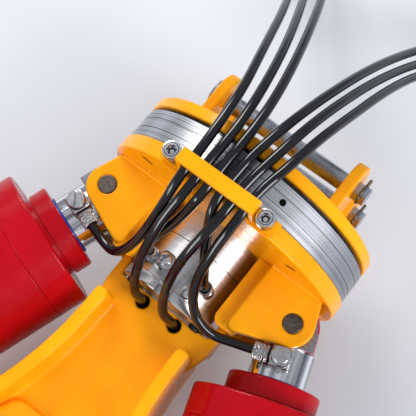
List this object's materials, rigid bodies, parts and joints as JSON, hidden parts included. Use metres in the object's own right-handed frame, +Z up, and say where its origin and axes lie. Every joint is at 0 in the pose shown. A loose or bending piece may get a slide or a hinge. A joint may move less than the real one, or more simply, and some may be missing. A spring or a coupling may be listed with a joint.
{
  "type": "hydraulic grab head",
  "caption": "Model-scale rotating hydraulic grab head: slew ring and motor above a frame with two jaws worked by leaning cylinders, fed by hoses.",
  "frame": {"origin": "on the ground, in the middle of the object's footprint without its hoses; the head lies on its side on the rims of its lower disc and its two jaws", "axes": "+Z up, away from the ground; +Y along the slew axis from the jaws to the mount; +X to the right-hand cylinder when +Y points away"},
  "size_m": [0.182, 0.3531, 0.0917],
  "materials": {
    "red_enamel": "glossy red enamel",
    "yellow_enamel": "glossy yellow enamel",
    "brushed_steel": "turned and brushed",
    "bearing_steel": "ground and polished",
    "chrome_rod": "mirror chrome",
    "dark_steel": "dark machined steel",
    "brown_pin": "dark brown brushed steel",
    "black_screws": "black oxide",
    "blue_seal": "satin blue",
    "black_rubber": "glossy black tube"
  },
  "bodies": {
    "base": {"lower_disc": "yellow_enamel", "slew_ring_lower": "brushed_steel", "slew_ring_middle": "brushed_steel", "slew_ring_upper": "brushed_steel", "slew_balls": "bearing_steel", "slew_seal": "black_rubber", "motor_front_flange": "brushed_steel", "motor_housing": "brushed_steel", "motor_end_cap": "brushed_steel", "motor_port_boss": "brushed_steel", "motor_fittings": "brushed_steel", "motor_screws": "black_screws", "grab_frame": "yellow_enamel", "right_clevis_bracket": "yellow_enamel", "left_clevis_bracket": "yellow_enamel", "right_rod_pin": "brown_pin", "left_rod_pin": "brown_pin", "hose_clamp": "yellow_enamel", "clamp_spacers": "brushed_steel", "clamp_screws": "brushed_steel", "hose_1": "black_rubber", "hose_2": "black_rubber", "hose_3": "black_rubber", "hose_4": "black_rubber", "hose_5": "black_rubber", "hose_6": "black_rubber", "hose_ends": "brushed_steel"},
    "upper_mount": {"upper_disc": "yellow_enamel", "slew_hub": "brushed_steel", "hub_screws": "black_screws", "right_mount_ear": "yellow_enamel", "left_mount_ear": "yellow_enamel", "mount_pins": "dark_steel", "mount_pin_clips": "brown_pin", "drive_shaft": "bearing_steel", "motor_rotor": "dark_steel"},
    "right_rod": {"right_rod_eye": "red_enamel", "right_piston_rod": "chrome_rod", "right_piston": "dark_steel", "right_banjo_fittings": "brushed_steel", "right_hose_nuts": "brushed_steel"},
    "right_barrel": {"right_wiper_seal": "blue_seal", "right_gland": "red_enamel", "right_barrel_head": "red_enamel", "right_barrel_tube": "red_enamel", "right_barrel_base": "red_enamel"},
    "right_jaw": {"right_jaw": "yellow_enamel", "right_jaw_pins": "dark_steel"},
    "left_rod": {"left_rod_eye": "red_enamel", "left_piston_rod": "chrome_rod", "left_piston": "dark_steel", "left_banjo_fittings": "brushed_steel", "left_hose_nuts": "brushed_steel"},
    "left_barrel": {"left_wiper_seal": "blue_seal", "left_gland": "red_enamel", "left_barrel_head": "red_enamel", "left_barrel_tube": "red_enamel", "left_barrel_base": "red_enamel"},
    "left_jaw": {"left_jaw": "yellow_enamel", "left_jaw_pins": "dark_steel"}
  },
  "joints": [
    {"name": "slew", "type": "hinge", "parent": "base", "child": "upper_mount", "pos_m": [0, 0.0762, 0.043], "axis": [0, 1, 0], "range_deg": [-90, 90]},
    {"name": "right_jaw_turn", "type": "hinge", "parent": "base", "child": "right_jaw", "pos_m": [0.03842, -0.04239, 0.043], "axis": [0, 0, -1], "range_deg": [0, 28]},
    {"name": "right_rod_swing", "type": "hinge", "parent": "base", "child": "right_rod", "pos_m": [0.036, 0.0655, 0.043], "axis": [0, 0, 1], "range_deg": [0, 0.6]},
    {"name": "right_cylinder_slide", "type": "slide", "parent": "right_rod", "child": "right_barrel", "axis": [0.3256, -0.9455, 0], "range_m": [0, 0.0166]},
    {"name": "left_jaw_turn", "type": "hinge", "parent": "base", "child": "left_jaw", "pos_m": [-0.03842, -0.04239, 0.043], "axis": [0, 0, 1], "range_deg": [0, 28]},
    {"name": "left_rod_swing", "type": "hinge", "parent": "base", "child": "left_rod", "pos_m": [-0.036, 0.0655, 0.043], "axis": [0, 0, -1], "range_deg": [0, 0.6]},
    {"name": "left_cylinder_slide", "type": "slide", "parent": "left_rod", "child": "left_barrel", "axis": [-0.3256, -0.9455, 0], "range_m": [0, 0.0166]}
  ],
  "couplings": [
    {"joint": "right_rod_swing", "follows": "right_jaw_turn", "ratio": 0.01863},
    {"joint": "right_cylinder_slide", "follows": "right_jaw_turn", "m_per_rad": 0.033612},
    {"joint": "left_rod_swing", "follows": "left_jaw_turn", "ratio": 0.01863},
    {"joint": "left_cylinder_slide", "follows": "left_jaw_turn", "m_per_rad": 0.033612}
  ]
}
